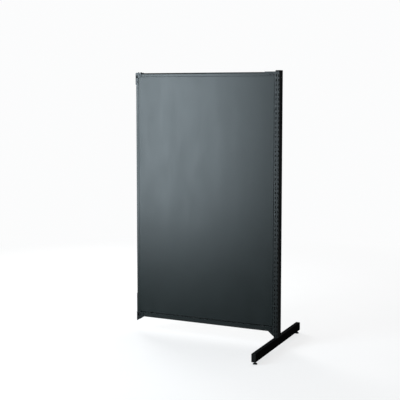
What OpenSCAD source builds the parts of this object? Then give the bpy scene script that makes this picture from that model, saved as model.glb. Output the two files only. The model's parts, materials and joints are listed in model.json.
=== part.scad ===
// Double-sided gondola add-on bay: one slotted upright on a T foot, and a framed
// back panel whose free left end bolts to the upright of the bay beside it.
// Millimetres. +Z is up, +X runs from the free end to the upright, -Y is the front.
// The origin is on the floor, under the middle of the bay.

/* [Bay] */
// Overall width, which is also the distance between neighbouring uprights
bay_w = 870; // [670:1:1270]
// Overall height, from the floor to the top of the upright's cap
bay_h = 1500; // [1200:1:2100]

/* [Upright] */
// Width of the upright's front face
upright_w = 25; // [25:1:40]
// Depth of the upright, front to rear
upright_d = 50; // [46:1:80]
// Wall of the upright tube
upright_t = 2; // [1.5:0.1:2.5]
// Outer corner radius of the upright tube
upright_r = 2.5; // [2:0.1:4]
// Distance from one slot to the next
slot_pitch = 25; // [20:1:50]
// Width of a slot
slot_w = 4; // [3:0.1:4.5]
// Length of a slot, along the upright
slot_len = 14; // [10:1:17]
// Distance between the two columns of slots in one face
slot_col = 14; // [8:1:15]
// From the overall top down to the middle of the first slot
slot_top_gap = 28; // [24:1:60]
// Least distance from the foot bar up to the middle of the last slot
slot_foot_gap = 12; // [10:1:60]
// Height of the cap that stands above the tube
cap_h = 9; // [4:0.5:20]
// Depth of the cap's plug inside the tube
cap_plug = 16; // [10:1:30]

/* [Foot] */
// Length of the foot bar with its end caps, front to rear
foot_l = 700; // [500:1:1000]
// Width of the foot bar
foot_w = 25; // [22:1:30]
// Height of the foot bar
foot_h = 45; // [40:1:70]
// Wall of the foot bar
foot_t = 2; // [1.5:0.1:3]
// Outer corner radius of the foot bar
foot_r = 3; // [2:0.1:4]
// Height of the foot bar's underside above the floor
foot_z = 15; // [15:0.5:25]
// Thickness of an end cap's flange
end_cap_t = 3; // [2:0.5:6]
// Depth of an end cap's plug inside the foot bar
end_cap_plug = 9; // [6:0.5:10]
// Wall of the plastic plugs
plug_t = 2; // [1.5:0.1:3]
// From the upper foot bolt up to the top of the tongue inside the upright
tongue_over = 25; // [12:1:60]
// Depth of the tongue, front to rear
tongue_d = 26; // [22:1:30]
// Wall of the tongue
tongue_t = 2.5; // [2:0.1:3]

/* [Levelling feet] */
// From each end of the foot bar to the middle of its levelling foot
adjuster_inset = 22; // [20:1:60]
// Radius of the levelling foot's threaded stem
stem_r = 4; // [3:0.1:4.5]
// Top of the stem above the floor, at rest
stem_top = 50; // [40:1:55]
// Radius of the glide
glide_r = 12.5; // [11:0.5:12.5]
// Thickness of the glide
glide_h = 3; // [2:0.1:4]
// Height of the cup above its glide
cup_h = 5; // [4.5:0.1:6]
// Wall of the cup's top
cup_t = 1.8; // [1.2:0.1:2]
// Radius of the stem's foot, which turns inside the cup
stem_foot_r = 5.5; // [4.5:0.1:6]
// Radius of the stem's neck, where it leaves the cup
stem_neck_r = 3.2; // [2.5:0.1:3.5]
// Height of the stem's hexagon collar
collar_h = 2.9; // [2:0.1:3]
// Height of the lock nut under the foot bar
jam_nut_h = 3.5; // [3:0.1:4]

/* [Frame] */
// Depth of the frame, front to rear
frame_d = 30; // [30:1:40]
// Sheet of the rail, the beam and the stiles
frame_t = 1.6; // [1.2:0.1:2]
// Height of the top rail
rail_h = 20; // [20:1:40]
// Height of the webs under the top rail and on the bottom beam, which close the gaps there
web_h = 12; // [6:1:20]
// Height of the bottom beam
beam_h = 27; // [24:1:60]
// From the foot bar up to the bottom beam
beam_gap = 29; // [25:1:60]
// Height of the folded edge of the rail and the beam
fold_h = 7; // [4:0.5:9]
// How far the folded edge of the rail and the beam leans in
fold_d = 4; // [2:0.5:6]
// Width of the left stile's face, with its end plate
left_stile_w = 18; // [16:1:30]
// Width of the right stile's face, with its end plate
right_stile_w = 8; // [7.5:0.5:9]
// Height of the middle rail inside the frame
mid_h = 30; // [20:1:60]
// Depth of the middle rail
mid_d = 9; // [6:0.5:9.5]

/* [Corner brackets] */
// Sheet of the corner brackets
plate_t = 2.5; // [2:0.1:3]
// How far the top left bracket reaches past the left stile's face
top_left_reach = 18; // [16:1:40]
// Length of the top right bracket
top_right_len = 63; // [50:1:90]
// Drop of the top brackets below the top of the rail
top_drop = 66; // [60:1:100]
// Length of the bottom left bracket
bottom_left_len = 42; // [34:1:60]
// Length of the bottom right bracket
bottom_right_len = 32; // [30:1:60]
// Drop of the bottom brackets below the beam
gusset_drop = 24; // [15:1:24]
// From the upper foot bolt up to the top of the bottom brackets' end plates
end_plate_over = 20; // [12:1:40]
// Width of the lock slots in the left brackets
lock_slot_w = 9; // [6:0.5:9]
// Length of the lock slots
lock_slot_len = 16; // [10:1:18]
// From the free end to the middle of a lock slot
lock_slot_x = 9; // [9:0.5:10]

/* [Panels] */
// Sheet of the panels
panel_t = 0.8; // [0.6:0.1:1.2]
// Depth of a panel's folded edges
panel_flange = 10; // [8:0.5:10]
// Gap between a panel and the rail and the right stile beside it
panel_gap = 1.5; // [1.5:0.1:4]
// Gap between a panel and the left stile
left_gap = 1; // [1:0.1:4]
// Height of the seats that the panels stand on, above the beam
seat_h = 5; // [2:0.5:8]
// Depth of a panel's stiffening ribs
rib_d = 8; // [5:0.5:9]
// Width of a rib's top
rib_w = 30; // [20:1:60]
// Width of each of a rib's feet
rib_foot = 12; // [8:1:20]
// Number of ribs behind each panel
rib_count = 2; // [1:1:4]
// From a rib's end to the panel's folded edge
rib_end_gap = 25; // [15:1:60]

/* [Fasteners] */
// Diameter of the joining bolts
bolt_d = 8; // [6:1:8]
// Length of a joining bolt's shank
bolt_len = 16; // [15.5:0.5:16.5]
// Distance between the two joining bolts at the foot
bolt_spacing = 60; // [50:1:60]
// From the bottom beam up to the lower joining bolt
bolt_low_gap = 29; // [15:1:60]
// From the top of the rail down to the upper joining bolt
bolt_top_gap = 41; // [40:1:50]
// Diameter of the small screws in the corner brackets
screw_d = 5; // [4:0.1:5]
// Length of a small screw's shank
screw_len = 7; // [6:0.5:8]

/* [Fits] */
// Clearance of a bolt or screw in its plain hole, on the radius
hole_gap = 0.5; // [0.2:0.1:0.6]
// Clearance of a thread in its nut, on the radius
thread_gap = 0.05; // [0.02:0.01:0.1]
// Clearance between the levelling foot's turning pieces
turn_gap = 0.3; // [0.2:0.05:0.4]
// Clearance between the tongue and the inside of the upright, each side
tongue_gap = 0.3; // [0.1:0.1:0.5]
// Clearance between a plastic plug and the inside of its tube, each side
plug_gap = 0.15; // [0.05:0.05:0.3]

/* [Hidden] */

round_fn = 48;          // facets of a round surface
corner_steps = 4;       // straight steps round a tube's corner
plug_r = 1;             // outer corner radius of a plastic plug
plug_in_r = 0.5;        // inner corner radius of a plastic plug
cap_edge = 2;           // height of the cap's stepped edge
cap_step = 1;           // how far the cap's stepped edge is set back
flange_edge = 1;        // thickness of an end cap's stepped edge
flange_step = 0.75;     // how far an end cap's stepped edge is set back
gusset_tip = 4;         // width of a gusset's lower end
top_left_tip = 17;      // height of the top left bracket's cheek at its tip
top_right_tip = 6;      // height of the top right bracket's cheek at its tip
top_knee = 28;          // height of a top bracket's cheek where it meets the stile's edge
lock_top_drop = 1;      // from the rail's underside down to the middle of the top lock slots
lock_low_drop = 3;      // from the middle of the beam down to the middle of the bottom lock slots
over = 1;               // how far a cutter runs past the face that it cuts

// Places along X
x_left = -bay_w / 2;
x_right = bay_w / 2;
x_upright = x_right - upright_w / 2;
x_join = x_right - upright_w;

// Places along Z
foot_top = foot_z + foot_h;
tube_top = bay_h - cap_h;
rail_z = tube_top - rail_h;
beam_z = foot_top + beam_gap;
beam_top = beam_z + beam_h;
gusset_z = beam_z - gusset_drop;
bolt_low_z = beam_top + bolt_low_gap;
bolt_mid_z = bolt_low_z + bolt_spacing;
bolt_top_z = tube_top - bolt_top_gap;
bolt_z = [bolt_low_z, bolt_mid_z, bolt_top_z];
tongue_top = bolt_mid_z + tongue_over;
end_plate_top = bolt_mid_z + end_plate_over;
lock_top_z = rail_z - lock_top_drop;
lock_low_z = beam_z + beam_h / 2 - lock_low_drop;

// Places along Y
frame_y = frame_d / 2;
adjuster_y = foot_l / 2 - adjuster_inset;

// Slots of the upright, counted down from the top
slot_first = bay_h - slot_top_gap;
slot_count = floor((slot_first - foot_top - slot_foot_gap) / slot_pitch) + 1;

// Panel outline inside the frame
panel_x0 = x_left + left_stile_w + left_gap;
panel_x1 = x_join - right_stile_w - panel_gap;
panel_z0 = beam_top + seat_h;
panel_z1 = rail_z - panel_gap;

// Tongue outline
tongue_w = upright_w - 2 * upright_t - 2 * tongue_gap;
tongue_x0 = x_upright - tongue_w / 2;
tongue_r = 2;
tongue_in_r = 1;

// Bolts and nuts
bolt_r = bolt_d / 2;
bolt_hole_r = bolt_r + hole_gap;
nut_bore_r = bolt_r + thread_gap;
nut_af = 13;            // across flats of a nut
nut_h = 6.5;            // height of a full nut
bolt_head_r = 7;
bolt_head_h = 4.4;
hex_key_af = 5;
hex_key_depth = 2.6;
screw_r = screw_d / 2;
screw_play = 0.1;       // clearance of a small screw or a stem in its threaded hole, on the radius
screw_key_af = 3;       // across flats of the socket in a small screw's head
screw_hole_r = screw_r + screw_play;
screw_head_r = 4.2;
screw_head_h = 1.6;
pan_head_r = 5;
pan_head_h = 2.5;
pan_edge = 1;           // height of a pan head's sloping edge
pan_step = 1.2;         // how far a pan head's sloping edge leans in
screw_edge = 9;         // from the end of a rail or a stile to a screw
stile_screw = [10, 50]; // from the free end and from the top, to the screw in the left stile
rail_screw_drop = 11;   // from the top of the rail down to the screw at its left end
rail_screws_right = [[14, 14], [32, 12]];   // the same as stile_screw, from the upright
beam_screw_left = 23;   // from the free end to the screws in the beam
beam_screw_right = 16;  // from the upright to the screws in the beam
beam_screw_rise = 8.5;  // from the beam's underside up to its lower screws
beam_screw_drop = 7;    // from the beam's top down to its upper screws
top_screw_x = [screw_edge, left_stile_w + screw_edge];  // from the free end
top_left_len = left_stile_w + top_left_reach;

// Heights on a levelling foot
cup_top = glide_h + cup_h;
collar_z = cup_top + turn_gap;
cup_inset = 0.5;        // how far the cup's rim is set back from the glide's
cup_rim_h = 1;          // height of the cup's rim
cup_side_t = 1;         // wall of the cup at its top
glide_edge = 1;         // height and width of the glide's sloping edge
adjuster_bore_r = stem_r + screw_play;

// Panel clips
clip_t = 1;
clip_h = 25;
clip_count = 4;
clip_left_play = 1;     // between a clip and the left stile's web
clip_right_play = 0.5;  // between a clip and the right stile's web
clip_short = 1;         // how far a clip stops short of the end of the panel's folded edge

// Panel seats
seat_l = 20;
seat_inset = 1;         // from the faces of the panel's folded edge to the seat
seat_end = 60;          // from the panel's ends to the middle of the outer seats

// A rectangle with rounded corners, centred on the origin, as a list of points
function rounded(w, d, r) = [
    for (corner = [[1, 1, 0], [-1, 1, 90], [-1, -1, 180], [1, -1, 270]])
        for (i = [0 : corner_steps])
            let (a = corner[2] + 90 * i / corner_steps)
                [corner[0] * (w / 2 - r) + r * cos(a), corner[1] * (d / 2 - r) + r * sin(a)]
];

// Cross-section of the rail and the beam in Y and Z, with both top edges folded in
function folded_bar(d, h, lean, fold) = [
    [-d / 2, 0], [-d / 2, h - fold], [-d / 2 + lean, h],
    [d / 2 - lean, h], [d / 2, h - fold], [d / 2, 0]
];

// Flat plate in X and Z, from y0 to y0 + t
module plate_xz(y0, t) {
    translate([0, y0 + t, 0]) rotate([90, 0, 0]) linear_extrude(t) children();
}

// The same plate on the front and on the rear of the frame
module front_and_rear(t) {
    plate_xz(-frame_y - t, t) children();
    plate_xz(frame_y, t) children();
}

// A straight length along X of a cross-section drawn in Y and Z
module along_x(x0, x1) {
    translate([x0, 0, 0]) rotate([90, 0, 90]) linear_extrude(x1 - x0) children();
}

// A straight length along Y of a cross-section drawn in X and Z
module along_y(y0, y1) {
    translate([0, y1, 0]) rotate([90, 0, 0]) linear_extrude(y1 - y0) children();
}

// A round rod along X
module rod_x(x0, x1, r) {
    translate([x0, 0, 0]) rotate([0, 90, 0]) cylinder(h = x1 - x0, r = r, $fn = round_fn);
}

// A round rod along Y
module rod_y(y0, y1, r) {
    translate([0, y1, 0]) rotate([90, 0, 0]) cylinder(h = y1 - y0, r = r, $fn = round_fn);
}

// Hexagon prism standing on the origin
module hexagon(af, h) {
    cylinder(h = h, r = af / 2 / cos(30), $fn = 6);
}

// Full nut lying along X, from x0 towards the sign of dir
module nut_x(x0, z, dir) {
    translate([x0, 0, z]) rotate([0, 90 * dir, 0]) difference() {
        hexagon(nut_af, nut_h);
        translate([0, 0, -over]) cylinder(h = nut_h + 2 * over, r = nut_bore_r, $fn = round_fn);
    }
}

// Round holes along X at the joining bolts
module bolt_holes(x0, x1, heights) {
    for (z = heights) translate([0, 0, z]) rod_x(x0, x1, bolt_hole_r);
}

// ---------- Upright ----------

// Both columns of slots through the front and the rear wall
module upright_slots() {
    for (i = [0 : slot_count - 1], column = [-1, 1], side = [-1, 1])
        translate([
            x_upright + column * slot_col / 2,
            side * (upright_d / 2 - upright_t / 2),
            slot_first - i * slot_pitch
        ])
            cube([slot_w, upright_t + 2 * over, slot_len], center = true);
}

module upright() {
    color([0.20, 0.23, 0.23]) difference() {
        translate([x_upright, 0, foot_top]) linear_extrude(tube_top - foot_top) difference() {
            polygon(rounded(upright_w, upright_d, upright_r));
            polygon(rounded(
                upright_w - 2 * upright_t, upright_d - 2 * upright_t, max(upright_r - upright_t, 1)
            ));
        }
        upright_slots();
        bolt_holes(x_join - over, x_right + over, bolt_z);
    }
}

module upright_cap() {
    plug_w = upright_w - 2 * upright_t - 2 * plug_gap;
    plug_d = upright_d - 2 * upright_t - 2 * plug_gap;
    color([0.05, 0.05, 0.05]) {
        translate([x_upright, 0, tube_top]) {
            linear_extrude(cap_h - cap_edge) polygon(rounded(upright_w, upright_d, upright_r));
            translate([0, 0, cap_h - cap_edge]) linear_extrude(cap_edge) polygon(rounded(
                upright_w - 2 * cap_step, upright_d - 2 * cap_step, upright_r
            ));
        }
        translate([x_upright, 0, tube_top - cap_plug]) linear_extrude(cap_plug) difference() {
            polygon(rounded(plug_w, plug_d, plug_r));
            polygon(rounded(plug_w - 2 * plug_t, plug_d - 2 * plug_t, plug_in_r));
        }
    }
}

// Weld nuts inside the upright for the upper bolts of this bay and of the next one
module upright_nuts() {
    color("silver") {
        nut_x(x_join + upright_t, bolt_top_z, 1);
        nut_x(x_right - upright_t, bolt_top_z, -1);
    }
}

// ---------- Foot ----------

module foot_bar() {
    bar_end = foot_l / 2 - end_cap_t;
    color([0.03, 0.03, 0.03]) difference() {
        translate([x_upright, 0, foot_z + foot_h / 2]) along_y(-bar_end, bar_end) difference() {
            polygon(rounded(foot_w, foot_h, foot_r));
            polygon(rounded(foot_w - 2 * foot_t, foot_h - 2 * foot_t, max(foot_r - foot_t, 1)));
        }
        for (side = [-1, 1]) translate([x_upright, side * adjuster_y, foot_z - over])
            cylinder(h = foot_t + 2 * over, r = stem_r + hole_gap, $fn = round_fn);
    }
}

// Square tube welded on the foot bar, which stands inside the upright
module foot_tongue() {
    color([0.04, 0.04, 0.04]) difference() {
        translate([x_upright, 0, foot_top]) linear_extrude(tongue_top - foot_top) difference() {
            polygon(rounded(tongue_w, tongue_d, tongue_r));
            polygon(rounded(tongue_w - 2 * tongue_t, tongue_d - 2 * tongue_t, tongue_in_r));
        }
        bolt_holes(tongue_x0 - over, tongue_x0 + tongue_w + over, [bolt_z[0], bolt_z[1]]);
    }
}

// Weld nuts inside the tongue, on the left for this bay and on the right for the next
module tongue_nuts() {
    color("silver") for (z = [bolt_z[0], bolt_z[1]]) {
        nut_x(tongue_x0 + tongue_t, z, 1);
        nut_x(tongue_x0 + tongue_w - tongue_t, z, -1);
    }
}

// End cap of the foot bar: a flange outside and a hollow plug inside
module foot_cap(side) {
    cap_end = foot_l / 2;
    bar_end = cap_end - end_cap_t;
    plug_w = foot_w - 2 * foot_t - 2 * plug_gap;
    plug_h = foot_h - 2 * foot_t - 2 * plug_gap;
    color([0.05, 0.05, 0.06]) mirror([0, side > 0 ? 0 : 1, 0])
        translate([x_upright, 0, foot_z + foot_h / 2]) {
            along_y(bar_end, cap_end - flange_edge) polygon(rounded(foot_w, foot_h, foot_r));
            along_y(cap_end - flange_edge, cap_end) polygon(rounded(
                foot_w - 2 * flange_step, foot_h - 2 * flange_step, foot_r
            ));
            along_y(bar_end - end_cap_plug, bar_end) difference() {
                polygon(rounded(plug_w, plug_h, plug_r));
                polygon(rounded(plug_w - 2 * plug_t, plug_h - 2 * plug_t, plug_in_r));
            }
        }
}

module foot_cap_front() foot_cap(-1);
module foot_cap_rear() foot_cap(1);

// ---------- Levelling feet ----------

// Threaded weld nuts inside the foot bar
module adjuster_nuts() {
    color("silver") for (side = [-1, 1]) translate([x_upright, side * adjuster_y, foot_z + foot_t])
        difference() {
            hexagon(nut_af, nut_h);
            translate([0, 0, -over])
                cylinder(h = nut_h + 2 * over, r = adjuster_bore_r, $fn = round_fn);
        }
}

// Lock nuts tightened against the underside of the foot bar
module jam_nuts() {
    color("silver") for (side = [-1, 1])
        translate([x_upright, side * adjuster_y, foot_z - jam_nut_h]) difference() {
            hexagon(nut_af, jam_nut_h);
            translate([0, 0, -over])
                cylinder(h = jam_nut_h + 2 * over, r = adjuster_bore_r, $fn = round_fn);
        }
}

// Flared cup that holds the stem's foot
module pad(side) {
    cavity_r = stem_foot_r + turn_gap;
    neck_hole_r = stem_neck_r + turn_gap;
    rim_r = glide_r - cup_inset;
    color([0.08, 0.08, 0.08]) translate([x_upright, side * adjuster_y, 0])
        rotate_extrude($fn = round_fn) polygon([
            [cavity_r, glide_h], [rim_r, glide_h], [rim_r, glide_h + cup_rim_h],
            [cavity_r + cup_side_t, cup_top], [neck_hole_r, cup_top],
            [neck_hole_r, cup_top - cup_t], [cavity_r, cup_top - cup_t]
        ]);
}

// Nylon disc that stands on the floor
module glide(side) {
    color([0.75, 0.75, 0.73]) translate([x_upright, side * adjuster_y, 0])
        rotate_extrude($fn = round_fn) polygon([
            [0, 0], [glide_r - glide_edge, 0], [glide_r, glide_edge], [glide_r, glide_h],
            [0, glide_h]
        ]);
}

// Stem: a foot inside the cup, a neck, a hexagon collar and the threaded length
module stem(side) {
    foot_bottom = glide_h + turn_gap;
    foot_height = cup_h - cup_t - 2 * turn_gap;
    color("silver") translate([x_upright, side * adjuster_y, 0]) {
        translate([0, 0, foot_bottom])
            cylinder(h = foot_height, r = stem_foot_r, $fn = round_fn);
        translate([0, 0, foot_bottom])
            cylinder(h = collar_z - foot_bottom + collar_h / 2, r = stem_neck_r, $fn = round_fn);
        translate([0, 0, collar_z]) hexagon(nut_af, collar_h);
        translate([0, 0, collar_z + collar_h / 2])
            cylinder(h = stem_top - collar_z - collar_h / 2, r = stem_r, $fn = round_fn);
    }
}

module pad_front() pad(-1);
module pad_rear() pad(1);
module glide_front() glide(-1);
module glide_rear() glide(1);
module stem_front() stem(-1);
module stem_rear() stem(1);

// ---------- Frame ----------

// Closed tube with the rail's cross-section, its outside from z = 0 to h
module folded_tube(h) {
    difference() {
        polygon(folded_bar(frame_d, h, fold_d, fold_h));
        translate([0, frame_t]) polygon(folded_bar(
            frame_d - 2 * frame_t, h - 2 * frame_t, fold_d - frame_t / 2, fold_h - frame_t / 2
        ));
    }
}

// Screw holes along Y through the front and the rear wall of the frame
module screw_holes(places) {
    for (p = places, side = [-1, 1]) translate([p[0], 0, p[1]]) {
        y_in = frame_y - frame_t - over;
        y_out = frame_y + plate_t + over;
        rod_y(side > 0 ? y_in : -y_out, side > 0 ? y_out : -y_in, screw_hole_r);
    }
}

// Lock slots along Y through the front and the rear wall
module lock_slot(z) {
    translate([x_left + lock_slot_x, 0, z])
        cube([lock_slot_w, frame_d + 2 * plate_t + 2 * over, lock_slot_len], center = true);
}

// Places of the small screws, as [x, z]
screws_top_left = [
    [x_left + stile_screw[0], tube_top - stile_screw[1]],
    [x_left + top_screw_x[1], tube_top - rail_screw_drop]
];
screws_top_right = [for (place = rail_screws_right) [x_join - place[0], tube_top - place[1]]];
beam_screws_z = [beam_z + beam_screw_rise, beam_top - beam_screw_drop];
screws_bottom_left = [for (z = beam_screws_z) [x_left + beam_screw_left, z]];
screws_bottom_right = [for (z = beam_screws_z) [x_join - beam_screw_right, z]];

module top_rail() {
    color([0.30, 0.34, 0.34]) difference() {
        along_x(x_left + left_stile_w, x_join - right_stile_w) {
            translate([0, rail_z]) folded_tube(rail_h);
            translate([-frame_t / 2, rail_z - web_h]) square([frame_t, web_h]);
        }
        screw_holes([screws_top_left[1], screws_top_right[0], screws_top_right[1]]);
        translate([x_left + top_screw_x[1], 0, tube_top - frame_t - over])
            cylinder(h = frame_t + 2 * over, r = screw_hole_r, $fn = round_fn);
    }
}

module bottom_beam() {
    color([0.16, 0.19, 0.19]) difference() {
        union() {
            translate([0, 0, beam_top]) mirror([0, 0, 1])
                along_x(x_left + plate_t, x_join - plate_t) folded_tube(beam_h);
            translate([0, 0, beam_top - frame_t / 2]) along_x(panel_x0, panel_x1)
                translate([-frame_t / 2, 0]) square([frame_t, web_h + frame_t / 2]);
        }
        screw_holes(concat(screws_bottom_left, screws_bottom_right));
        lock_slot(lock_low_z);
    }
}

// Channel with its web at x = 0 and its flanges towards +X, w wide, from z0 to z1
module channel(w, z0, z1) {
    translate([0, 0, z0]) linear_extrude(z1 - z0) difference() {
        translate([0, -frame_y]) square([w, frame_d]);
        translate([frame_t, -frame_y + frame_t]) square([w, frame_d - 2 * frame_t]);
    }
}

module left_stile() {
    web_x = x_left + plate_t;
    face_w = left_stile_w - plate_t;
    color([0.27, 0.31, 0.31]) difference() {
        union() {
            translate([web_x, 0, 0]) channel(face_w, beam_top, tube_top);
            // Folded tab that closes the top end
            translate([web_x, -frame_y, tube_top - frame_t]) cube([face_w, frame_d, frame_t]);
        }
        bolt_holes(x_left - over, web_x + frame_t + over, bolt_z);
        screw_holes([screws_top_left[0]]);
        lock_slot(lock_top_z);
        translate([x_left + top_screw_x[0], 0, tube_top - frame_t - over])
            cylinder(h = frame_t + 2 * over, r = screw_hole_r, $fn = round_fn);
    }
}

module right_stile() {
    web_x = x_join - plate_t;
    color([0.27, 0.31, 0.31]) difference() {
        translate([web_x, 0, 0]) mirror([1, 0, 0])
            channel(right_stile_w - plate_t, beam_top, tube_top);
        bolt_holes(web_x - frame_t - over, x_join + over, bolt_z);
    }
}

// Flat tube across the middle of the frame, between the panels
module mid_rail() {
    mid_z = (beam_top + rail_z) / 2;
    color([0.16, 0.19, 0.19]) translate([0, 0, mid_z])
        along_x(x_left + plate_t + frame_t, x_join - plate_t - frame_t) difference() {
            square([mid_d, mid_h], center = true);
            square([mid_d - 2 * frame_t, mid_h - 2 * frame_t], center = true);
        }
}

// ---------- Corner brackets ----------

// Cheek of a top bracket, drawn from its end plate at x = 0 towards +X
module top_cheek(len, face_w, tip_h, knee_h) {
    polygon([
        [0, tube_top + plate_t], [len, tube_top + plate_t], [len, tube_top - tip_h],
        [face_w, tube_top - knee_h], [face_w, tube_top - top_drop], [0, tube_top - top_drop]
    ]);
}

// Cheek of a bottom bracket, with the gusset under the beam
module bottom_cheek(len) {
    polygon([
        [0, gusset_z], [gusset_tip, gusset_z], [len, beam_z], [len, beam_top], [0, beam_top]
    ]);
}

// End plate of a bracket, from x = 0 to plate_t
module end_plate(y_half, z0, z1) {
    translate([0, -y_half, z0]) cube([plate_t, 2 * y_half, z1 - z0]);
}

module top_bracket(len, face_w, tip_h, knee_h) {
    y_half = frame_y + plate_t;
    front_and_rear(plate_t) top_cheek(len, face_w, tip_h, knee_h);
    end_plate(y_half, tube_top - top_drop, tube_top + plate_t);
    translate([0, -y_half, tube_top]) cube([len, 2 * y_half, plate_t]);
}

module bottom_bracket(len) {
    front_and_rear(plate_t) bottom_cheek(len);
    end_plate(frame_y + plate_t, gusset_z, beam_top);
    end_plate(frame_y, beam_top, end_plate_top);
}

module bracket_top_left() {
    color([0.27, 0.31, 0.31]) difference() {
        translate([x_left, 0, 0]) top_bracket(top_left_len, left_stile_w, top_left_tip, top_knee);
        bolt_holes(x_left - over, x_left + plate_t + over, [bolt_z[2]]);
        screw_holes(screws_top_left);
        lock_slot(lock_top_z);
        for (x = top_screw_x) translate([x_left + x, 0, tube_top - over])
            cylinder(h = plate_t + 2 * over, r = screw_hole_r, $fn = round_fn);
    }
}

module bracket_top_right() {
    color([0.30, 0.33, 0.35]) difference() {
        translate([x_join, 0, 0]) mirror([1, 0, 0])
            top_bracket(top_right_len, right_stile_w, top_right_tip, top_knee);
        bolt_holes(x_join - plate_t - over, x_join + over, [bolt_z[2]]);
        screw_holes(screws_top_right);
    }
}

module bracket_bottom_left() {
    color([0.12, 0.15, 0.15]) difference() {
        translate([x_left, 0, 0]) bottom_bracket(bottom_left_len);
        bolt_holes(x_left - over, x_left + plate_t + over, [bolt_z[0], bolt_z[1]]);
        screw_holes(screws_bottom_left);
        lock_slot(lock_low_z);
    }
}

module bracket_bottom_right() {
    color([0.12, 0.15, 0.15]) difference() {
        translate([x_join, 0, 0]) mirror([1, 0, 0]) bottom_bracket(bottom_right_len);
        bolt_holes(x_join - plate_t - over, x_join + over, [bolt_z[0], bolt_z[1]]);
        screw_holes(screws_bottom_right);
    }
}

// ---------- Fasteners ----------

// Low-headed screw along Y, its head on the front or the rear cheek
module bracket_screw(p, side) {
    y_head = frame_y + plate_t;
    translate([p[0], 0, p[1]]) mirror([0, side > 0 ? 0 : 1, 0]) {
        rod_y(y_head - screw_len, y_head + screw_head_h / 2, screw_r);
        difference() {
            rod_y(y_head, y_head + screw_head_h, screw_head_r);
            translate([0, y_head + screw_head_h + over, 0]) rotate([90, 0, 0])
                hexagon(screw_key_af, over + screw_head_h / 2);
        }
    }
}

module bracket_screws() {
    places = concat(
        screws_top_left, screws_top_right, screws_bottom_left, screws_bottom_right
    );
    color([0.06, 0.06, 0.06]) for (p = places, side = [-1, 1]) bracket_screw(p, side);
}

// Pan-head screws that hold the top left bracket down
module top_screws() {
    head_z = tube_top + plate_t;
    color([0.06, 0.06, 0.06]) for (x = top_screw_x) translate([x_left + x, 0, 0]) {
        translate([0, 0, head_z - screw_len])
            cylinder(h = screw_len + pan_head_h / 2, r = screw_r, $fn = round_fn);
        difference() {
            translate([0, 0, head_z]) rotate_extrude($fn = round_fn) polygon([
                [0, 0], [pan_head_r, 0], [pan_head_r, pan_head_h - pan_edge],
                [pan_head_r - pan_step, pan_head_h], [0, pan_head_h]
            ]);
            translate([0, 0, head_z + pan_head_h / 2]) hexagon(screw_key_af, pan_head_h);
        }
    }
}

// Bolts that clamp the right stile and its brackets to the upright
module joining_bolts() {
    head_x = x_join - plate_t - frame_t;
    color([0.06, 0.06, 0.06]) for (z = bolt_z) translate([0, 0, z]) {
        rod_x(head_x - bolt_head_h / 2, head_x + bolt_len, bolt_r);
        difference() {
            rod_x(head_x - bolt_head_h, head_x, bolt_head_r);
            translate([head_x - bolt_head_h - over, 0, 0]) rotate([0, 90, 0])
                hexagon(hex_key_af, hex_key_depth + over);
        }
    }
}

// ---------- Panels ----------

// Sheet-metal tray: a flat face with its four edges folded back
module panel(side) {
    w = panel_x1 - panel_x0;
    h = panel_z1 - panel_z0;
    color([0.34, 0.38, 0.39]) mirror([0, side > 0 ? 1 : 0, 0])
        translate([panel_x0, -frame_y, panel_z0]) difference() {
            cube([w, panel_flange, h]);
            translate([panel_t, panel_t, panel_t])
                cube([w - 2 * panel_t, panel_flange, h - 2 * panel_t]);
        }
}

module panel_front() panel(-1);
module panel_rear() panel(1);

// Hat-section ribs bonded to the back of a panel's face
module ribs(side) {
    w = panel_x1 - panel_x0;
    z0 = panel_z0 + panel_t + rib_end_gap;
    z1 = panel_z1 - panel_t - rib_end_gap;
    half = rib_w / 2;
    color([0.16, 0.19, 0.19]) mirror([0, side > 0 ? 1 : 0, 0])
        for (i = [1 : rib_count])
            translate([panel_x0 + w * i / (rib_count + 1), -frame_y + panel_t, z0])
                linear_extrude(z1 - z0) polygon([
                    [-half - rib_foot, 0], [-half, 0], [-half, rib_d - panel_t],
                    [half, rib_d - panel_t], [half, 0], [half + rib_foot, 0],
                    [half + rib_foot, panel_t], [half + panel_t, panel_t],
                    [half + panel_t, rib_d], [-half - panel_t, rib_d],
                    [-half - panel_t, panel_t], [-half - rib_foot, panel_t]
                ]);
}

module ribs_front() ribs(-1);
module ribs_rear() ribs(1);

// Nylon seats on the beam, which the panels' lower edges stand on
module panel_seats() {
    seat_d = panel_flange - 2 * seat_inset;
    seat_y = frame_y - seat_inset;
    places = [panel_x0 + seat_end, (panel_x0 + panel_x1) / 2, panel_x1 - seat_end];
    color([0.05, 0.05, 0.05]) for (x = places, side = [-1, 1])
        translate([x - seat_l / 2, side > 0 ? seat_y - seat_d : -seat_y, beam_top])
            cube([seat_l, seat_d, seat_h]);
}

// Spring clips between the stiles' faces and the panels' folded edges
module clips(side) {
    y0 = -frame_y + frame_t;
    depth = panel_flange - frame_t - clip_short;
    left_x0 = x_left + plate_t + frame_t + clip_left_play;
    right_x1 = x_join - plate_t - frame_t - clip_right_play;
    color("silver") mirror([0, side > 0 ? 1 : 0, 0]) for (i = [1 : clip_count]) {
        z = panel_z0 + (panel_z1 - panel_z0) * (i - 0.5) / clip_count;
        translate([0, y0, z - clip_h / 2]) {
            translate([left_x0, 0, 0]) cube([panel_x0 - left_x0, clip_t, clip_h]);
            translate([panel_x0 - clip_t, 0, 0]) cube([clip_t, depth, clip_h]);
            translate([panel_x1, 0, 0]) cube([right_x1 - panel_x1, clip_t, clip_h]);
            translate([panel_x1, 0, 0]) cube([clip_t, depth, clip_h]);
        }
    }
}

module clips_front() clips(-1);
module clips_rear() clips(1);

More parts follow.
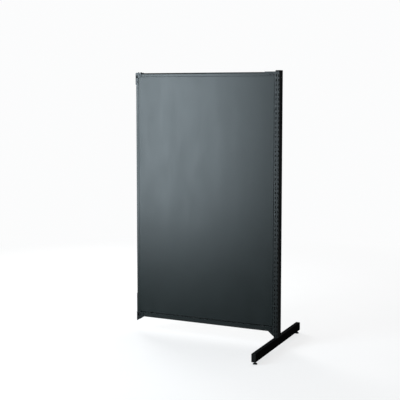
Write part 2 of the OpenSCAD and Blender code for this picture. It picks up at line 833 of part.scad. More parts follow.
upright();
upright_cap();
upright_nuts();
foot_bar();
foot_tongue();
tongue_nuts();
foot_cap_front();
foot_cap_rear();
adjuster_nuts();
jam_nuts();
pad_front();
glide_front();
stem_front();
pad_rear();
glide_rear();
stem_rear();
top_rail();
bottom_beam();
left_stile();
right_stile();
mid_rail();
bracket_top_left();
bracket_top_right();
bracket_bottom_left();
bracket_bottom_right();
bracket_screws();
top_screws();
joining_bolts();
panel_front();
panel_rear();
ribs_front();
ribs_rear();
panel_seats();
clips_front();
clips_rear();
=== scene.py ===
import json
import math

import bmesh
import bpy
from mathutils import Matrix, Vector


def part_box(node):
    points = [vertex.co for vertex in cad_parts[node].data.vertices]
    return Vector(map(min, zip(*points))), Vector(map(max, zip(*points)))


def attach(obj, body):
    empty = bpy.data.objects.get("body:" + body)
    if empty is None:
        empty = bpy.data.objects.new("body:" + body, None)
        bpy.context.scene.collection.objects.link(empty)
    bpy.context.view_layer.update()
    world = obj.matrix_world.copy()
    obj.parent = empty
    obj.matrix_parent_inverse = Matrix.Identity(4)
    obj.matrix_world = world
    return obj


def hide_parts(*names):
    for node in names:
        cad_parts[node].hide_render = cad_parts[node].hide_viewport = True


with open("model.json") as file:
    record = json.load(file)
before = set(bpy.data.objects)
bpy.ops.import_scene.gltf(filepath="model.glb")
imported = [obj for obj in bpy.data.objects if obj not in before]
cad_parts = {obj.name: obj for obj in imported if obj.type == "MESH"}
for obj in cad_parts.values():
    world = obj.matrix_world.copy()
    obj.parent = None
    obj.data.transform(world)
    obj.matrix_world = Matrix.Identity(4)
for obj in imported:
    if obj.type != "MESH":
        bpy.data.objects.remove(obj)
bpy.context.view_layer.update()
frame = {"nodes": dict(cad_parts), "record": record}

# The frame is in metres. Sizes named in millimetres are brought to it by MM.
MM = 0.001
NODES = frame["nodes"]


# ---------- Node-tree helpers ----------

def new_material(name):
    """A material with a Principled shader: the material itself, its tree and the shader."""
    made = bpy.data.materials.new(name)
    made.use_nodes = True
    tree = made.node_tree
    tree.nodes.clear()
    output = tree.nodes.new("ShaderNodeOutputMaterial")
    shader = tree.nodes.new("ShaderNodeBsdfPrincipled")
    tree.links.new(shader.outputs["BSDF"], output.inputs["Surface"])
    return made, tree, shader


def object_coordinates(tree, scale=(1, 1, 1)):
    """Object coordinates, stretched by scale."""
    source = tree.nodes.new("ShaderNodeTexCoord")
    mapping = tree.nodes.new("ShaderNodeMapping")
    mapping.inputs["Scale"].default_value = scale
    tree.links.new(source.outputs["Object"], mapping.inputs["Vector"])
    return mapping.outputs["Vector"]


def noise(tree, vector, scale, detail=2.0, roughness=0.5):
    """Noise from 0 to 1, with scale in features per metre."""
    made = tree.nodes.new("ShaderNodeTexNoise")
    made.inputs["Scale"].default_value = scale
    made.inputs["Detail"].default_value = detail
    made.inputs["Roughness"].default_value = roughness
    tree.links.new(vector, made.inputs["Vector"])
    return made.outputs["Fac"]


def remap(tree, value, low, high, to_low, to_high):
    """value carried from low..high to to_low..to_high, and held at the ends."""
    made = tree.nodes.new("ShaderNodeMapRange")
    limits = {"From Min": low, "From Max": high, "To Min": to_low, "To Max": to_high}
    for name, limit in limits.items():
        made.inputs[name].default_value = limit
    tree.links.new(value, made.inputs["Value"])
    return made.outputs["Result"]


def combine(tree, operation, first, second):
    """A Math node of two values, each of them a socket or a number."""
    made = tree.nodes.new("ShaderNodeMath")
    made.operation = operation
    for socket, value in zip(made.inputs, (first, second)):
        if isinstance(value, (int, float)):
            socket.default_value = value
        else:
            tree.links.new(value, socket)
    return made.outputs["Value"]


def mix_colours(tree, factor, first, second):
    """A colour between first and second, each of them a socket or three numbers."""
    made = tree.nodes.new("ShaderNodeMix")
    made.data_type = "RGBA"
    tree.links.new(factor, made.inputs["Factor"])
    for name, value in (("A", first), ("B", second)):
        socket = [s for s in made.inputs if s.name == name and s.type == "RGBA"][0]
        if isinstance(value, tuple):
            socket.default_value = (*value, 1)
        else:
            tree.links.new(value, socket)
    return [s for s in made.outputs if s.type == "RGBA"][0]


def bump(tree, shader, height, strength, distance):
    """Gives the shader a bump of that height map, with distance in metres."""
    made = tree.nodes.new("ShaderNodeBump")
    made.inputs["Strength"].default_value = strength
    made.inputs["Distance"].default_value = distance
    tree.links.new(height, made.inputs["Height"])
    tree.links.new(made.outputs["Normal"], shader.inputs["Normal"])


def edge_mask(tree, radius):
    """1 on sharp edges and 0 on flat faces, from how far the rounded normal turns from the true one."""
    flat, sharp = 0.97, 0.85
    rounded = tree.nodes.new("ShaderNodeBevel")
    rounded.samples = 4
    rounded.inputs["Radius"].default_value = radius
    geometry = tree.nodes.new("ShaderNodeNewGeometry")
    dot = tree.nodes.new("ShaderNodeVectorMath")
    dot.operation = "DOT_PRODUCT"
    tree.links.new(rounded.outputs["Normal"], dot.inputs[0])
    tree.links.new(geometry.outputs["True Normal"], dot.inputs[1])
    return remap(tree, dot.outputs["Value"], flat, sharp, 0.0, 1.0)


# ---------- Materials ----------
# Noise scales are in features per metre.

NOISE_BAND = (0.3, 0.7)     # where nearly all values of a noise lie
EDGE_WEAR = 0.6 * MM        # radius within which paint counts as being on an edge
SCREW_WEAR = 0.3 * MM       # the same for the edges of the screws
PEEL_HEIGHT = 0.05 * MM     # height of the orange peel
GRAIN_HEIGHT = 0.04 * MM    # height of the grain on plastic
STREAK_HEIGHT = 0.02 * MM   # height of the streaks on plated steel


def set_roughness(tree, shader, pattern, middle, spread):
    """Roughness that follows a noise pattern, from middle - spread to middle + spread."""
    value = remap(tree, pattern, *NOISE_BAND, middle - spread, middle + spread)
    tree.links.new(value, shader.inputs["Roughness"])


def powder_coat(name, base, roughness, specular, wear=0.5):
    """Satin powder coat: orange peel, faint mottling and rubbing, and paint worn thin along the edges."""
    mottle_scale, chip_scale, rub_scale, peel_scale = 9.0, 420.0, 5.0, 700.0
    chip_band = (0.52, 0.62)
    made, tree, shader = new_material(name)
    vector = object_coordinates(tree)
    mottle = noise(tree, vector, mottle_scale, 3.0)
    dark = tuple(c * 0.90 for c in base)
    light = tuple(c * 1.10 for c in base)
    colour = mix_colours(tree, remap(tree, mottle, *NOISE_BAND, 0.0, 1.0), dark, light)
    chips = remap(tree, noise(tree, vector, chip_scale, 3.0), *chip_band, 0.0, wear)
    worn = combine(tree, "MULTIPLY", edge_mask(tree, EDGE_WEAR), chips)
    thin = tuple(min(1.0, c * 2.2 + 0.03) for c in base)
    colour = mix_colours(tree, worn, colour, thin)
    tree.links.new(colour, shader.inputs["Base Color"])
    rubbed = noise(tree, object_coordinates(tree, (2.0, 2.0, 0.8)), rub_scale, 4.0, 0.6)
    set_roughness(tree, shader, rubbed, roughness, 0.03)
    shader.inputs["Specular IOR Level"].default_value = specular
    bump(tree, shader, noise(tree, vector, peel_scale, 1.0), 0.12, PEEL_HEIGHT)
    return made


def moulded_plastic(name, base, roughness, grain=900.0):
    """Moulded plastic with a fine spark-eroded grain and a little dust in it."""
    dust_scale, lustre_scale = 35.0, 60.0
    dust_band, most_dust = (0.45, 0.75), 0.5
    made, tree, shader = new_material(name)
    vector = object_coordinates(tree)
    dust = remap(tree, noise(tree, vector, dust_scale, 5.0, 0.65), *dust_band, 0.0, most_dust)
    dusty = tuple(c * 0.7 + 0.02 for c in base)
    tree.links.new(mix_colours(tree, dust, base, dusty), shader.inputs["Base Color"])
    set_roughness(tree, shader, noise(tree, vector, lustre_scale, 2.0), roughness, 0.05)
    shader.inputs["Specular IOR Level"].default_value = 0.3
    bump(tree, shader, noise(tree, vector, grain, 2.0), 0.25, GRAIN_HEIGHT)
    return made


def plated_steel(name, base, roughness, streak):
    """Plated or spring steel: metal with fine streaks drawn along the piece and a patchy lustre."""
    streak_scale, lustre_scale = 300.0, 120.0
    streak_band = (0.35, 0.65)
    made, tree, shader = new_material(name)
    shader.inputs["Metallic"].default_value = 1.0
    streaks = noise(tree, object_coordinates(tree, streak), streak_scale, 4.0, 0.6)
    darker = tuple(c * 0.82 for c in base)
    colour = mix_colours(tree, remap(tree, streaks, *streak_band, 0.0, 1.0), darker, base)
    tree.links.new(colour, shader.inputs["Base Color"])
    lustre = noise(tree, object_coordinates(tree), lustre_scale, 3.0)
    set_roughness(tree, shader, lustre, roughness, 0.07)
    bump(tree, shader, streaks, 0.2, STREAK_HEIGHT)
    return made


def black_oxide(name):
    """Oiled black-oxide steel of the screws, rubbed brighter on the edges."""
    rub_scale, lustre_scale = 700.0, 250.0
    rub_band, most_rubbed = (0.4, 0.6), 0.7
    black, bright = (0.035, 0.034, 0.036), (0.30, 0.29, 0.28)
    made, tree, shader = new_material(name)
    vector = object_coordinates(tree)
    shader.inputs["Metallic"].default_value = 1.0
    rubbing = remap(tree, noise(tree, vector, rub_scale, 2.0), *rub_band, 0.0, most_rubbed)
    rubbed = combine(tree, "MULTIPLY", edge_mask(tree, SCREW_WEAR), rubbing)
    tree.links.new(mix_colours(tree, rubbed, black, bright), shader.inputs["Base Color"])
    set_roughness(tree, shader, noise(tree, vector, lustre_scale, 3.0), 0.40, 0.08)
    return made


MATERIALS = {
    "panel_paint": powder_coat("panel_paint", (0.0075, 0.0125, 0.0120), 0.38, 0.5, wear=0.25),
    "frame_paint": powder_coat("frame_paint", (0.0075, 0.0125, 0.0120), 0.38, 0.5),
    "bracket_paint": powder_coat("bracket_paint", (0.0070, 0.0110, 0.0115), 0.38, 0.5),
    "upright_paint": powder_coat("upright_paint", (0.0110, 0.0140, 0.0138), 0.38, 0.5),
    "foot_paint": powder_coat("foot_paint", (0.0020, 0.0020, 0.0022), 0.40, 0.06),
    "black_plastic": moulded_plastic("black_plastic", (0.006, 0.006, 0.006), 0.5),
    "cup_black": powder_coat("cup_black", (0.006, 0.006, 0.0065), 0.42, 0.4),
    "nylon": moulded_plastic("nylon", (0.55, 0.55, 0.52), 0.48, grain=500.0),
    "zinc": plated_steel("zinc", (0.62, 0.62, 0.60), 0.34, (1.0, 1.0, 0.15)),
    "spring_steel": plated_steel("spring_steel", (0.045, 0.045, 0.048), 0.5, (1.0, 1.0, 0.1)),
    "black_screw": black_oxide("black_screw"),
}


# ---------- CAD nodes: materials, and rounded folds on the sheet metal ----------

WELD_DISTANCE = 0.01 * MM
FOLD_SEGMENTS = 3
FOLD_ANGLE = math.radians(35)
FOLD_ROUND = {           # radius of the folds and edges of each node, in millimetres
    "panel_front": 0.4, "panel_rear": 0.4,
    "top_rail": 0.8, "bottom_beam": 0.8, "left_stile": 0.8, "right_stile": 0.8, "mid_rail": 0.6,
    "bracket_top_left": 0.6, "bracket_top_right": 0.6,
    "bracket_bottom_left": 0.6, "bracket_bottom_right": 0.6,
    "ribs_front": 0.3, "ribs_rear": 0.3, "clips_front": 0.35, "clips_rear": 0.35,
    "upright_cap": 0.7, "foot_cap_front": 0.5, "foot_cap_rear": 0.5,
    "panel_seats": 0.5,
}


def finish_cad_nodes():
    """Gives every CAD node its slot's material, and rounds the folds and edges of those in FOLD_ROUND."""
    for part in frame["record"]["subparts"]:
        node = NODES[part["node"]]
        node.data.materials.clear()
        node.data.materials.append(MATERIALS[part["material_slot"]])
        radius = FOLD_ROUND.get(part["node"])
        if radius:
            weld = node.modifiers.new("weld", "WELD")
            weld.merge_threshold = WELD_DISTANCE
            fold = node.modifiers.new("folds", "BEVEL")
            fold.width = radius * MM
            fold.segments = FOLD_SEGMENTS
            fold.limit_method = "ANGLE"
            fold.angle_limit = FOLD_ANGLE
            fold.harden_normals = True


finish_cad_nodes()


# ---------- Turned and threaded pieces ----------
# Each is built round +Z in millimetres, as rings of points, which are skinned, turned and put in place.

RING_STEPS = 48         # points to one ring
ARC_STEPS = 5           # steps round a rounded edge
THREAD_STEPS = 8        # rings to one pitch of a thread
THREAD_SHARE = 0.61     # depth of a thread, as a share of its pitch
THREAD_FLANK = 2.6      # steepness of a thread's flanks, more than 2 to leave a flat crest
SHARP = math.radians(32)    # faces that meet at a larger angle keep a sharp edge
TURN_TO = {             # turns a piece from +Z to another axis
    "+Z": Matrix.Identity(4),
    "+X": Matrix.Rotation(math.radians(90), 4, "Y"),
    "-X": Matrix.Rotation(math.radians(-90), 4, "Y"),
    "+Y": Matrix.Rotation(math.radians(-90), 4, "X"),
    "-Y": Matrix.Rotation(math.radians(90), 4, "X"),
}


def ring(z, radius):
    """One ring of points at height z. The radius is a number or a function of the angle."""
    points = []
    for i in range(RING_STEPS):
        angle = 2 * math.pi * i / RING_STEPS
        r = radius(angle) if callable(radius) else radius
        points.append(Vector((r * math.cos(angle), r * math.sin(angle), z)))
    return points


def hexagon(across_flats, limit=math.inf):
    """Radius of a hexagon with a corner on +X, its corners cut back to limit."""
    def radius(angle):
        return min(limit, across_flats / 2 / math.cos(angle % (math.pi / 3) - math.pi / 6))
    return radius


def thread_rings(z0, z1, crest, pitch):
    """Rings of a right-handed screw thread from z0 to z1, with its first and last turn tapered."""
    depth = THREAD_SHARE * pitch
    count = max(2, round((z1 - z0) / pitch * THREAD_STEPS))
    rings = []
    for i in range(count + 1):
        z = z0 + (z1 - z0) * i / count
        ends = min(1.0, (z - z0) / pitch, (z1 - z) / pitch)

        def radius(angle, z=z, ends=ends):
            phase = (z / pitch - angle / (2 * math.pi)) % 1.0
            height = min(1.0, THREAD_FLANK * abs(phase - 0.5))
            return crest - depth + depth * height * max(ends, 0.0)
        rings.append(ring(z, radius))
    return rings


def arc(centre_r, centre_z, radius, start, end):
    """Rings along a rounded edge, from one angle to the other in degrees above the horizontal."""
    made = []
    for i in range(ARC_STEPS + 1):
        angle = math.radians(start + (end - start) * i / ARC_STEPS)
        made.append(ring(centre_z + radius * math.sin(angle), centre_r + radius * math.cos(angle)))
    return made


def skin(rings, bored=False):
    """Vertices and faces over the rings. The ends are filled, or joined to each other if it is bored."""
    vertices = [p for r in rings for p in r]
    n = RING_STEPS
    pairs = list(zip(range(len(rings) - 1), range(1, len(rings))))
    if bored:
        pairs.append((len(rings) - 1, 0))
    faces = [
        (a * n + i, a * n + (i + 1) % n, b * n + (i + 1) % n, b * n + i)
        for a, b in pairs for i in range(n)
    ]
    if not bored:
        faces.append(tuple(reversed(range(n))))
        faces.append(tuple(range((len(rings) - 1) * n, len(rings) * n)))
    return vertices, faces


def put(solid, place, axis="+Z"):
    """A skinned solid in millimetres, turned to axis and moved to place in metres."""
    vertices, faces = solid
    matrix = Matrix.Translation(place) @ TURN_TO[axis] @ Matrix.Scale(MM, 4)
    return [matrix @ v for v in vertices], faces


def build(name, solids, node, body, slot_name):
    """Joins placed solids into one piece that stands for a CAD node and rides on its body."""
    vertices, faces = [], []
    for points, polygons in solids:
        start = len(vertices)
        vertices += points
        faces += [tuple(start + i for i in polygon) for polygon in polygons]
    mesh = bpy.data.meshes.new(name)
    mesh.from_pydata(vertices, [], faces)
    work = bmesh.new()
    work.from_mesh(mesh)
    bmesh.ops.recalc_face_normals(work, faces=work.faces)
    work.to_mesh(mesh)
    work.free()
    mesh.polygons.foreach_set("use_smooth", [True] * len(mesh.polygons))
    mesh.set_sharp_from_angle(angle=SHARP)
    mesh.materials.append(MATERIALS[slot_name])
    piece = bpy.data.objects.new(name, mesh)
    bpy.context.scene.collection.objects.link(piece)
    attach(piece, body)
    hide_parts(node)


def solids_of(node):
    """Lowest and highest corner of each separate solid of a CAD node."""
    work = bmesh.new()
    work.from_mesh(NODES[node].data)
    bmesh.ops.remove_doubles(work, verts=work.verts, dist=WELD_DISTANCE)
    left = set(work.verts)
    boxes = []
    while left:
        group, waiting = [], [left.pop()]
        while waiting:
            vertex = waiting.pop()
            group.append(vertex.co.copy())
            for edge in vertex.link_edges:
                other = edge.other_vert(vertex)
                if other in left:
                    left.remove(other)
                    waiting.append(other)
        boxes.append((
            Vector(min(p[i] for p in group) for i in range(3)),
            Vector(max(p[i] for p in group) for i in range(3)),
        ))
    work.free()
    return sorted(boxes, key=lambda box: tuple(box[0]))


# ---------- Fasteners, in millimetres ----------

M8 = 8.0
M8_PITCH = 1.25
M5 = 5.0
M5_PITCH = 0.8
NUT_AF = 13.0           # across the flats of an M8 nut
NUT_CORNER = 7.2        # radius to which its corners are cut back
NUT_CHAMFER = 0.7       # height of the chamfers at both ends
NUT_SINK = 0.4          # width and depth of the countersinks
FACE_INSET = 0.1        # how far an end face's rim lies inside the flats
EDGE_BREAK = 0.15       # broken edge under a screw's head
TIP_CHAMFER = 0.5       # chamfer at a screw's tip
HEAD_RELIEF = 0.3       # length without a thread under a head
SHANK_PLAY = 0.02       # how much thinner the shank is there
SOCKET_CHAMFER = 0.25   # chamfer round a socket, on each side and in depth


def hex_nut(height, bore):
    """Nut with its corners chamfered at both ends and a countersunk bore."""
    rim = NUT_AF / 2 - FACE_INSET
    upper = height - NUT_CHAMFER
    return skin([
        ring(0.0, bore + NUT_SINK), ring(0.0, rim), ring(NUT_CHAMFER, hexagon(NUT_AF, NUT_CORNER)),
        ring(height / 2, hexagon(NUT_AF)), ring(upper, hexagon(NUT_AF, NUT_CORNER)),
        ring(height, rim), ring(height, bore + NUT_SINK),
        ring(height - NUT_SINK, bore), ring(NUT_SINK, bore),
    ], bored=True)


def screw(shank, thread_d, pitch, head_r, head_h, key_af, key_depth, dome):
    """Screw with the top of its head at z = 0 and its shank downwards; the key's socket is a hexagon."""
    under = -head_h
    tip = under - shank
    root = thread_d / 2 - THREAD_SHARE * pitch
    head = [ring(under, head_r - EDGE_BREAK), ring(under + EDGE_BREAK, head_r)]
    head += arc(head_r - dome, -dome, dome, 0, 90)
    socket = [
        ring(0.0, hexagon(key_af + 2 * SOCKET_CHAMFER)),
        ring(-SOCKET_CHAMFER, hexagon(key_af)), ring(-key_depth, hexagon(key_af)),
    ]
    return skin(
        [ring(tip, root - TIP_CHAMFER), ring(tip + TIP_CHAMFER, root)]
        + thread_rings(tip + TIP_CHAMFER, under - HEAD_RELIEF, thread_d / 2, pitch)
        + [ring(under, thread_d / 2 - SHANK_PLAY)] + head + socket
    )


def nut_set(name, node, axis, play):
    """Nuts in place of a CAD node's plain ones, each standing on the low end of its box along axis."""
    along = "XYZ".index(axis[1])
    solids = []
    for low, high in solids_of(node):
        place = (low + high) / 2
        place[along] = low[along]
        solids.append(put(hex_nut((high - low)[along] / MM, M8 / 2 + play), place, axis))
    build(name, solids, node, "bay", "zinc")


def screw_set(name, node, axis_of, thread_d, pitch, head_r, head_h, key_af, key_depth, dome):
    """Screws in place of a CAD node's plain ones. axis_of gives the axis along which a screw's head points,
    from the screw's centre."""
    solids = []
    for low, high in solids_of(node):
        place = (low + high) / 2
        axis = axis_of(place)
        along = "XYZ".index(axis[1])
        place[along] = high[along] if axis[0] == "+" else low[along]
        shank = (high - low)[along] / MM - head_h
        solid = screw(shank, thread_d, pitch, head_r, head_h, key_af, key_depth, dome)
        solids.append(put(solid, place, axis))
    build(name, solids, node, "bay", "black_screw")


nut_set("jam_nut_pair", "jam_nuts", "+Z", 0.1)
nut_set("adjuster_nut_pair", "adjuster_nuts", "+Z", 0.1)
nut_set("upright_nut_pair", "upright_nuts", "+X", 0.05)
nut_set("tongue_nut_set", "tongue_nuts", "+X", 0.05)
screw_set(
    "bracket_screw_set", "bracket_screws", lambda centre: "+Y" if centre.y > 0 else "-Y",
    M5, M5_PITCH, head_r=4.2, head_h=1.6, key_af=3.0, key_depth=0.8, dome=1.1,
)
screw_set(
    "top_screw_pair", "top_screws", lambda centre: "+Z",
    M5, M5_PITCH, head_r=5.0, head_h=2.5, key_af=3.0, key_depth=1.2, dome=1.3,
)
screw_set(
    "joining_bolt_set", "joining_bolts", lambda centre: "-X",
    M8, M8_PITCH, head_r=7.0, head_h=4.4, key_af=5.0, key_depth=2.6, dome=1.4,
)


# ---------- Levelling feet, in millimetres ----------

GLIDE_LOW_EDGE = 0.9    # radius of the glide's lower edge
GLIDE_TOP_EDGE = 0.4    # radius of its upper edge
GLIDE_BEARING = 2.5     # from its rim in to its flat underside
GLIDE_TOP_R = 4.0       # radius of the innermost ring on its top
CUP_ROOF = 1.8          # wall over the cup's cavity
CUP_CAVITY_R = 5.8
CUP_NECK_R = 3.5        # radius of the hole that the stem's neck goes through
CUP_SHOULDER_R = 7.0    # radius of the cup's flare at its top
CUP_EDGE = 0.8          # radius of its top edge, and height of its rim
CUP_RIM_BREAK = 0.2     # broken edge of the rim
CUP_SINK = 0.3          # countersink of the neck's hole
FLARE_STEPS = (0.0, 0.08, 0.2, 0.35, 0.5, 0.7, 0.85, 1.0)   # rings up the flare, closest where it curves
FLARE_POWER = 0.55      # less than 1 pulls the flare in quickly above the rim
STEM_FOOT_R = 5.5
STEM_FOOT_EDGE = 0.6    # radius of the lower edge of the stem's foot
STEM_FOOT_BREAK = 0.3   # chamfer on its upper edge
STEM_NECK_R = 3.2
NECK_FILLET = 0.2       # where the neck meets the foot
TURN_GAP = 0.3          # clearance between the stem and the cup
COLLAR_H = 2.9
COLLAR_CHAMFER = 0.6
COLLAR_FACE_R = 6.4
COLLAR_MIDDLE = 1.4     # height at which the collar's corners are full
ROOT_R = 3.25           # radius of the thread's root over the collar
ROOT_FILLET = 0.35      # how much wider it is on the collar's face
ROOT_H = 0.3            # from the collar's face to the thread
THREAD_END = 0.6        # from the tip to the end of the thread
STEM_POINT = 0.55       # height of the tapered tip
STEM_TIP_R = 2.6


def glide_solid(radius, height):
    """Nylon disc with rounded edges."""
    return skin(
        [ring(0.0, radius - GLIDE_BEARING)]
        + arc(radius - GLIDE_LOW_EDGE, GLIDE_LOW_EDGE, GLIDE_LOW_EDGE, -90, 0)
        + arc(radius - GLIDE_TOP_EDGE, height - GLIDE_TOP_EDGE, GLIDE_TOP_EDGE, 0, 90)
        + [ring(height, GLIDE_TOP_R)]
    )


def cup_solid(bottom, top, radius):
    """Flared cup, hollow below for the stem's foot, with a hole at the top for its neck."""
    rise = top - bottom - 2 * CUP_EDGE
    roof = top - CUP_ROOF
    flare = [
        ring(bottom + CUP_EDGE + rise * t, radius - (radius - CUP_SHOULDER_R) * t ** FLARE_POWER)
        for t in FLARE_STEPS
    ]
    rim = [
        ring(bottom, CUP_CAVITY_R), ring(bottom, radius - CUP_RIM_BREAK),
        ring(bottom + CUP_RIM_BREAK, radius),
    ]
    inside = [
        ring(top, CUP_NECK_R + CUP_SINK), ring(top - CUP_SINK, CUP_NECK_R),
        ring(roof, CUP_NECK_R), ring(roof, CUP_CAVITY_R),
    ]
    shoulder = arc(CUP_SHOULDER_R - CUP_EDGE, top - CUP_EDGE, CUP_EDGE, 0, 90)
    return skin(rim + flare + shoulder + inside, bored=True)


def stem_solid(bottom, top, cup_top):
    """Stem: a round foot in the cup, a neck, a hexagon collar above the cup, and a threaded length."""
    foot_top = cup_top - CUP_ROOF - TURN_GAP
    collar = cup_top + TURN_GAP
    collar_top = collar + COLLAR_H
    foot_r = STEM_FOOT_R - STEM_FOOT_EDGE
    foot = [ring(bottom, foot_r)] + arc(foot_r, bottom + STEM_FOOT_EDGE, STEM_FOOT_EDGE, -90, 0) + [
        ring(foot_top - STEM_FOOT_BREAK, STEM_FOOT_R), ring(foot_top, STEM_FOOT_R - STEM_FOOT_BREAK),
        ring(foot_top, STEM_NECK_R + NECK_FILLET), ring(foot_top + NECK_FILLET, STEM_NECK_R),
    ]
    collar_rings = [
        ring(collar, STEM_NECK_R), ring(collar, COLLAR_FACE_R),
        ring(collar + COLLAR_CHAMFER, hexagon(NUT_AF, NUT_CORNER)),
        ring(collar + COLLAR_MIDDLE, hexagon(NUT_AF)),
        ring(collar_top - COLLAR_CHAMFER, hexagon(NUT_AF, NUT_CORNER)),
        ring(collar_top, COLLAR_FACE_R),
        ring(collar_top, ROOT_R + ROOT_FILLET), ring(collar_top + ROOT_H, ROOT_R),
    ]
    threads = thread_rings(collar_top + ROOT_H, top - THREAD_END, M8 / 2, M8_PITCH)
    point = [ring(top - STEM_POINT, STEM_NECK_R), ring(top, STEM_TIP_R)]
    return skin(foot + collar_rings + threads + point)


def make_levelling_foot(end):
    """Glide, cup and threaded stem at one end of the foot bar."""
    glide_low, glide_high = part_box(f"glide_{end}")
    cup_low, cup_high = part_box(f"pad_{end}")
    stem_low, stem_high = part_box(f"stem_{end}")
    centre = Vector(((glide_low.x + glide_high.x) / 2, (glide_low.y + glide_high.y) / 2, 0.0))
    glide_r = (glide_high.x - glide_low.x) / 2 / MM
    glide_h = (glide_high.z - glide_low.z) / MM
    cup_r = (cup_high.x - cup_low.x) / 2 / MM
    cup_top = cup_high.z / MM
    glide = glide_solid(glide_r, glide_h)
    cup = cup_solid(glide_h, cup_top, cup_r)
    stem = stem_solid(stem_low.z / MM, stem_high.z / MM, cup_top)
    build(f"nylon_glide_{end}", [put(glide, centre)], f"glide_{end}", f"{end}_pad", "nylon")
    build(f"cup_{end}", [put(cup, centre)], f"pad_{end}", f"{end}_pad", "cup_black")
    build(f"threaded_stem_{end}", [put(stem, centre)], f"stem_{end}", f"{end}_stem", "zinc")


for foot_end in ("front", "rear"):
    make_levelling_foot(foot_end)


# ---------- Stage, light and camera ----------

FLOOR_SIZE = 60.0
FADE_FROM = 0.6         # distance from the origin at which the floor starts to fade into the background
FADE_TO = 3.5
GLOW_NEAR = 0.72        # share of the background's own light in the floor near the object
FLOOR_DARK = (0.86, 0.865, 0.87)
FLOOR_LIGHT = (0.9, 0.9, 0.9)
FLOOR_GRAIN = 3.0       # features per metre
BACKGROUND = (0.97, 0.973, 0.976)


def make_floor():
    """A plain pale floor, which fades into the background far from the object."""
    mesh = bpy.data.meshes.new("floor")
    half = FLOOR_SIZE / 2
    corners = [(-half, -half, 0), (half, -half, 0), (half, half, 0), (-half, half, 0)]
    mesh.from_pydata(corners, [], [(0, 1, 2, 3)])
    floor = bpy.data.objects.new("floor", mesh)
    bpy.context.scene.collection.objects.link(floor)
    made, tree, shader = new_material("floor")
    shader.inputs["Roughness"].default_value = 0.9
    shader.inputs["Specular IOR Level"].default_value = 0.0
    vector = object_coordinates(tree)
    grain = remap(tree, noise(tree, vector, FLOOR_GRAIN, 4.0), *NOISE_BAND, 0.0, 1.0)
    tree.links.new(mix_colours(tree, grain, FLOOR_DARK, FLOOR_LIGHT), shader.inputs["Base Color"])
    distance = tree.nodes.new("ShaderNodeVectorMath")
    distance.operation = "LENGTH"
    tree.links.new(vector, distance.inputs[0])
    far = remap(tree, distance.outputs["Value"], FADE_FROM, FADE_TO, GLOW_NEAR, 1.0)
    glow = tree.nodes.new("ShaderNodeEmission")
    glow.inputs["Color"].default_value = (*BACKGROUND, 1)
    blend = tree.nodes.new("ShaderNodeMixShader")
    tree.links.new(far, blend.inputs[0])
    tree.links.new(shader.outputs["BSDF"], blend.inputs[1])
    tree.links.new(glow.outputs["Emission"], blend.inputs[2])
    output = [n for n in tree.nodes if n.type == "OUTPUT_MATERIAL"][0]
    tree.links.new(blend.outputs["Shader"], output.inputs["Surface"])
    mesh.materials.append(made)
    floor.visible_glossy = False
    floor.visible_diffuse = False


# The low glow fades between these parts of the direction that it comes from.
GLOW_LEFT = (-0.15, 0.0)    # x: full to the left of the first
GLOW_RIGHT = (0.74, 0.94)   # x: full to the right of the second
GLOW_REAR = (-0.3, 0.0)     # y: full behind the second
GLOW_LOW = (-0.1, 0.05)     # z: full below the first
FILL_REAR = (0.0, 0.6)      # y: the fill is full in front of the first
FILL_REAR_SHARE = 0.3       # and falls to this share behind the second
FILL_COLOUR = (0.95, 0.98, 1.0)


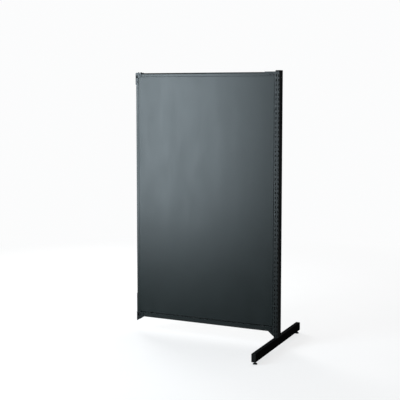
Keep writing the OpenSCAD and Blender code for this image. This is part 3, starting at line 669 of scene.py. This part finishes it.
def make_world(fill, glow):
    """An even white background for the camera, and for everything else a dim fill and a low glow. The
    glow comes from the left, the right and behind. It shows in the sides and the rear, not in the front."""
    world = bpy.data.worlds.new("studio")
    bpy.context.scene.world = world
    world.use_nodes = True
    tree = world.node_tree
    tree.nodes.clear()
    direction = tree.nodes.new("ShaderNodeTexCoord")
    parts = tree.nodes.new("ShaderNodeSeparateXYZ")
    tree.links.new(direction.outputs["Generated"], parts.inputs[0])
    x, y, z = (parts.outputs[name] for name in "XYZ")
    left = remap(tree, x, *GLOW_LEFT, 1.0, 0.0)
    right = remap(tree, x, *GLOW_RIGHT, 0.0, 1.0)
    rear = remap(tree, y, *GLOW_REAR, 0.0, 1.0)
    low = remap(tree, z, *GLOW_LOW, 1.0, 0.0)
    sides = combine(tree, "MAXIMUM", left, right)
    lit = combine(tree, "MULTIPLY", sides, combine(tree, "MULTIPLY", rear, low))
    shade = remap(tree, y, *FILL_REAR, fill, FILL_REAR_SHARE * fill)
    strength = combine(tree, "ADD", shade, combine(tree, "MULTIPLY", lit, glow))
    dim = tree.nodes.new("ShaderNodeBackground")
    dim.inputs["Color"].default_value = (*FILL_COLOUR, 1)
    tree.links.new(strength, dim.inputs["Strength"])
    seen = tree.nodes.new("ShaderNodeBackground")
    seen.inputs["Color"].default_value = (*BACKGROUND, 1)
    rays = tree.nodes.new("ShaderNodeLightPath")
    blend = tree.nodes.new("ShaderNodeMixShader")
    output = tree.nodes.new("ShaderNodeOutputWorld")
    tree.links.new(rays.outputs["Is Camera Ray"], blend.inputs[0])
    tree.links.new(dim.outputs["Background"], blend.inputs[1])
    tree.links.new(seen.outputs["Background"], blend.inputs[2])
    tree.links.new(blend.outputs["Shader"], output.inputs["Surface"])


def softbox(name, place, target, size, watts, colour=(1.0, 1.0, 1.0)):
    """A rectangular area light at place, aimed at target, which the camera doesn't see."""
    data = bpy.data.lights.new(name, "AREA")
    data.shape = "RECTANGLE"
    data.size, data.size_y = size
    data.energy = watts
    data.color = colour
    light = bpy.data.objects.new(name, data)
    light.location = place
    light.visible_camera = False
    light.rotation_mode = "QUATERNION"
    light.rotation_quaternion = (Vector(target) - Vector(place)).to_track_quat("-Z", "Y")
    bpy.context.scene.collection.objects.link(light)


CAMERA_PLACE = Vector((2.061, -4.527, 1.386))
CAMERA_AZIMUTH = 24.89      # degrees to the left of straight back
CAMERA_PITCH = 4.96         # degrees below the horizontal
SENSOR = 36.0               # millimetres
FOCAL = 81.1                # millimetres
SHIFT_Y = -0.075
SIGHT = 200.0               # farthest distance shown


def make_camera():
    """A long lens in front of the bay and to its right, a little below the height of the top rail."""
    data = bpy.data.cameras.new("camera")
    data.sensor_width = SENSOR
    data.lens = FOCAL
    data.shift_y = SHIFT_Y
    data.clip_end = SIGHT
    camera = bpy.data.objects.new("camera", data)
    camera.location = CAMERA_PLACE
    camera.rotation_euler = (math.radians(90 - CAMERA_PITCH), 0, math.radians(CAMERA_AZIMUTH))
    bpy.context.scene.collection.objects.link(camera)
    bpy.context.scene.camera = camera


make_camera()
make_floor()
make_world(fill=0.08, glow=1.0)
softbox(
    "key", place=(-1.18, -1.90, 1.34), target=(0.0, 0.0, 0.9), size=(1.07, 2.19), watts=63.0,
    colour=(0.86, 1.0, 1.09),
)
softbox("overhead", place=(0.0, 0.9, 4.2), target=(0.0, 0.3, 0.0), size=(3.5, 3.5), watts=130.0)
softbox("rear", place=(-2.6, 2.2, 1.8), target=(0.0, 0.0, 0.8), size=(1.4, 1.4), watts=110.0)

bpy.context.scene.view_settings.view_transform = "Standard"
bpy.context.scene.view_settings.look = "None"
